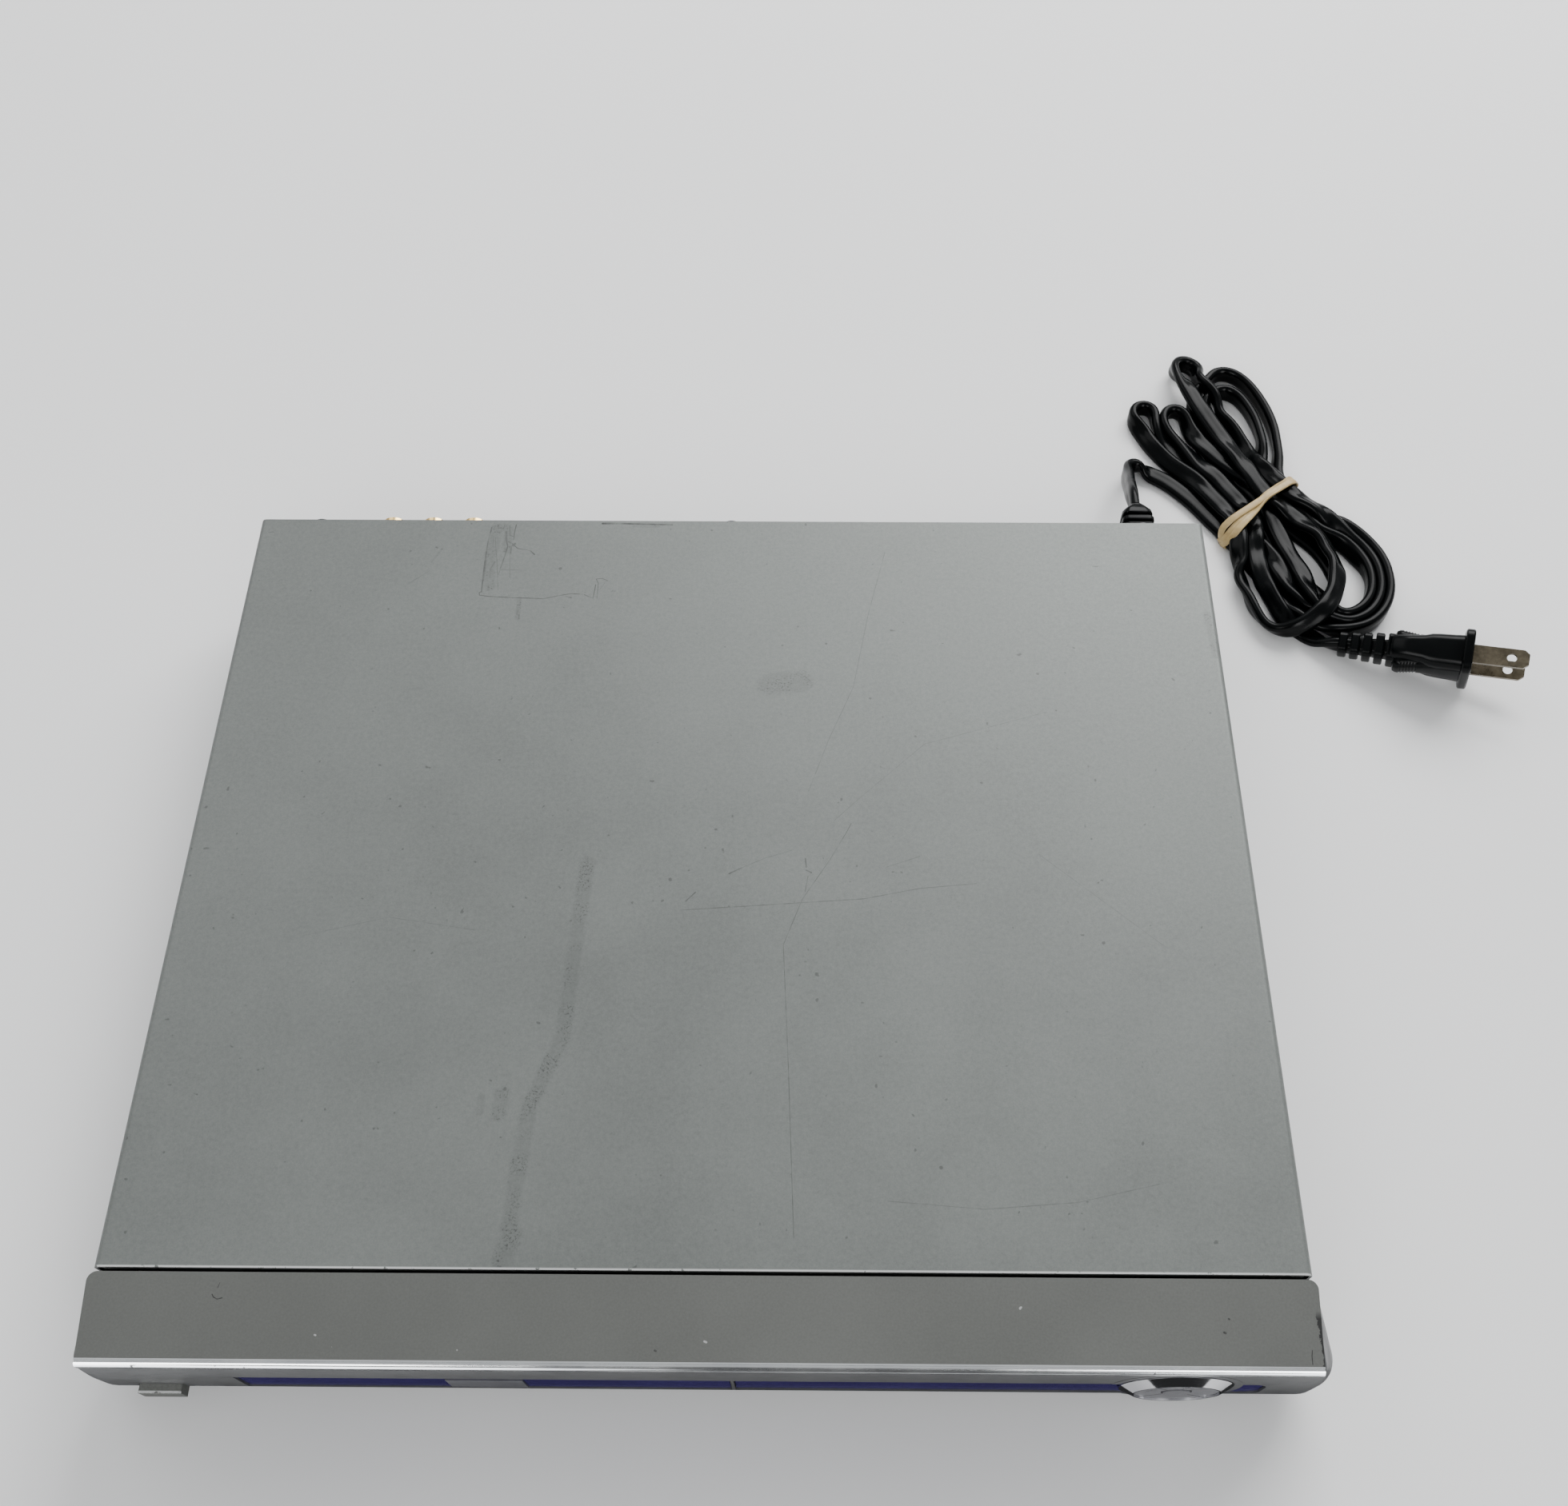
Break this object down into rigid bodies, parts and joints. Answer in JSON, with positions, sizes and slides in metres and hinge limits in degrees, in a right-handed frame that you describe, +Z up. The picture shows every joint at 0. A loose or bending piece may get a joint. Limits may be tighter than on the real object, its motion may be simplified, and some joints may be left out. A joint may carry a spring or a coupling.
{
  "type": "disc player with tray",
  "caption": "Slim silver disc player with a motor-driven tray, tinted front windows, a chrome control dial, rear phono sockets and a bundled flat mains cord.",
  "frame": {"origin": "on the surface the player stands on, under the centre of the box round the case, without its cord", "axes": "+X to the right seen from the front, +Y to the back, +Z up"},
  "size_m": [0.4474, 0.3912, 0.046],
  "materials": {
    "lid_paint": "silver stoving paint, fine pebble",
    "bezel_silver": "silver lacquer on moulded plastic",
    "plate_grey": "satin grey lacquer",
    "trim_silver": "bright silver lacquer",
    "smoked_blue": "tinted translucent acrylic",
    "badge_grey": "satin",
    "chrome_trim": "polished",
    "key_grey": "satin silver lacquer",
    "base_steel": "zinc plated",
    "panel_steel": "zinc plated",
    "bright_steel": "bright",
    "foot_rubber": "matt",
    "loader_black": "moulded",
    "tray_grey": "moulded, fine texture",
    "gear_white": "acetal",
    "belt_rubber": "matt",
    "lens_glass": "coated",
    "board_green": "solder mask",
    "board_tan": "phenolic paper",
    "chip_black": "moulded",
    "coil_tape": "yellow tape",
    "can_sleeve": "shrink sleeve",
    "sink_alu": "anodised",
    "cable_white": "flat cable",
    "wire_mix": "insulated wire",
    "jack_gold": "gold plated",
    "jack_yellow": "moulded",
    "jack_white": "moulded",
    "jack_red": "moulded",
    "screw_steel": "plated",
    "screw_black": "black oxide",
    "cord_black": "pvc jacket, satin",
    "band_tan": "natural rubber"
  },
  "bodies": {
    "case": {"top_cover": "lid_paint", "chassis_base": "base_steel", "rear_panel": "panel_steel", "rubber_feet": "foot_rubber", "front_bezel": "bezel_silver", "bezel_top_plate": "plate_grey", "bezel_trim": "trim_silver", "display_window": "smoked_blue", "sensor_window": "smoked_blue", "dial_ring": "chrome_trim", "key_board": "board_green", "key_switches": "chip_black", "display_module": "chip_black", "power_switch": "chip_black", "loader_frame": "loader_black", "loading_motor": "bright_steel", "drive_belt": "belt_rubber", "clamp_bridge": "bright_steel", "main_board": "board_green", "board_chips": "chip_black", "power_board": "board_tan", "transformer": "coil_tape", "capacitors": "can_sleeve", "heat_sink": "sink_alu", "flat_cables": "cable_white", "power_wires": "wire_mix", "jack_block": "chip_black", "jack_shells": "jack_gold", "jack_yellow": "jack_yellow", "jack_white": "jack_white", "jack_red": "jack_red", "cover_screws": "screw_black", "inner_screws": "screw_steel", "strain_relief": "cord_black", "cord_lead": "cord_black", "cord_hank": "cord_black", "rubber_band": "band_tan", "plug_body": "cord_black"},
    "tray": {"disc_tray": "tray_grey", "tray_door": "smoked_blue", "door_badge": "badge_grey"},
    "rack_gear": {"tray_gear": "gear_white"},
    "belt_gear": {"pulley_gear": "gear_white"},
    "motor_wheel": {"motor_pulley": "gear_white"},
    "cam": {"cam_slider": "gear_white"},
    "deck": {"traverse_deck": "loader_black", "guide_rods": "bright_steel", "spindle_motor": "bright_steel", "sled_motor": "bright_steel"},
    "platter": {"turntable": "loader_black"},
    "clamp": {"clamp_puck": "loader_black"},
    "sled": {"pickup_sled": "sink_alu"},
    "lens": {"pickup_lens": "lens_glass"},
    "screw": {"lead_screw": "bright_steel"},
    "power_key": {"power_button": "bezel_silver"},
    "open_button": {"open_key": "key_grey"},
    "play_button": {"play_key": "key_grey"},
    "stop_button": {"stop_key": "key_grey"},
    "previous_button": {"previous_key": "key_grey"},
    "next_button": {"next_key": "key_grey"}
  },
  "joints": [
    {"name": "tray_slide", "type": "slide", "parent": "case", "child": "tray", "axis": [0, -1, 0], "range_m": [0, 0.132]},
    {"name": "tray_gear_turn", "type": "hinge", "parent": "case", "child": "rack_gear", "pos_m": [-0.1062, -0.0995, 0.013], "axis": [0, 0, 1], "range_deg": [0, 841]},
    {"name": "pulley_gear_turn", "type": "hinge", "parent": "case", "child": "belt_gear", "pos_m": [-0.0894, -0.0995, 0.013], "axis": [0, 0, 1], "range_deg": [-2102, 0]},
    {"name": "motor_pulley_turn", "type": "hinge", "parent": "case", "child": "motor_wheel", "pos_m": [0.0196, -0.0995, 0.014], "axis": [0, 0, 1], "range_deg": [-4876, 0]},
    {"name": "deck_tilt", "type": "hinge", "parent": "case", "child": "deck", "pos_m": [-0.0584, 0.0235, 0.0144], "axis": [1, 0, 0], "range_deg": [0, 2]},
    {"name": "cam_slide", "type": "slide", "parent": "case", "child": "cam", "axis": [1, 0, 0], "range_m": [0, 0.01401]},
    {"name": "turntable_spin", "type": "hinge", "parent": "deck", "child": "platter", "pos_m": [-0.0584, -0.0703, 0.02], "axis": [0, 0, 1], "continuous": true},
    {"name": "clamp_spin", "type": "hinge", "parent": "case", "child": "clamp", "pos_m": [-0.0584, -0.0703, 0.028], "axis": [0, 0, 1], "continuous": true},
    {"name": "sled_slide", "type": "slide", "parent": "deck", "child": "sled", "axis": [0, 1, 0], "range_m": [0, 0.036]},
    {"name": "lead_screw_turn", "type": "hinge", "parent": "deck", "child": "screw", "pos_m": [-0.0264, -0.0245, 0.0124], "axis": [0, 1, 0], "range_deg": [0, 4321]},
    {"name": "lens_focus", "type": "slide", "parent": "sled", "child": "lens", "axis": [0, 0, 1], "range_m": [-0.0004, 0.0004], "stiffness_N_per_m": 30},
    {"name": "power_press", "type": "slide", "parent": "case", "child": "power_key", "axis": [0, 1, 0], "range_m": [0, 0.0012], "stiffness_N_per_m": 400},
    {"name": "open_press", "type": "slide", "parent": "case", "child": "open_button", "axis": [0, 1, 0], "range_m": [0, 0.0006], "stiffness_N_per_m": 400},
    {"name": "play_press", "type": "slide", "parent": "case", "child": "play_button", "axis": [0, 1, 0], "range_m": [0, 0.0006], "stiffness_N_per_m": 400},
    {"name": "stop_press", "type": "slide", "parent": "case", "child": "stop_button", "axis": [0, 1, 0], "range_m": [0, 0.0006], "stiffness_N_per_m": 400},
    {"name": "previous_press", "type": "slide", "parent": "case", "child": "previous_button", "axis": [0, 1, 0], "range_m": [0, 0.0006], "stiffness_N_per_m": 400},
    {"name": "next_press", "type": "slide", "parent": "case", "child": "next_button", "axis": [0, 1, 0], "range_m": [0, 0.0006], "stiffness_N_per_m": 400}
  ],
  "couplings": [
    {"joint": "tray_gear_turn", "follows": "tray_slide", "rad_per_m": 111.11},
    {"joint": "pulley_gear_turn", "follows": "tray_slide", "rad_per_m": -277.78},
    {"joint": "motor_pulley_turn", "follows": "tray_slide", "rad_per_m": -644.44},
    {"joint": "cam_slide", "follows": "deck_tilt", "m_per_rad": 0.401},
    {"joint": "clamp_spin", "follows": "turntable_spin", "ratio": 1},
    {"joint": "lead_screw_turn", "follows": "sled_slide", "rad_per_m": 2094.4}
  ]
}
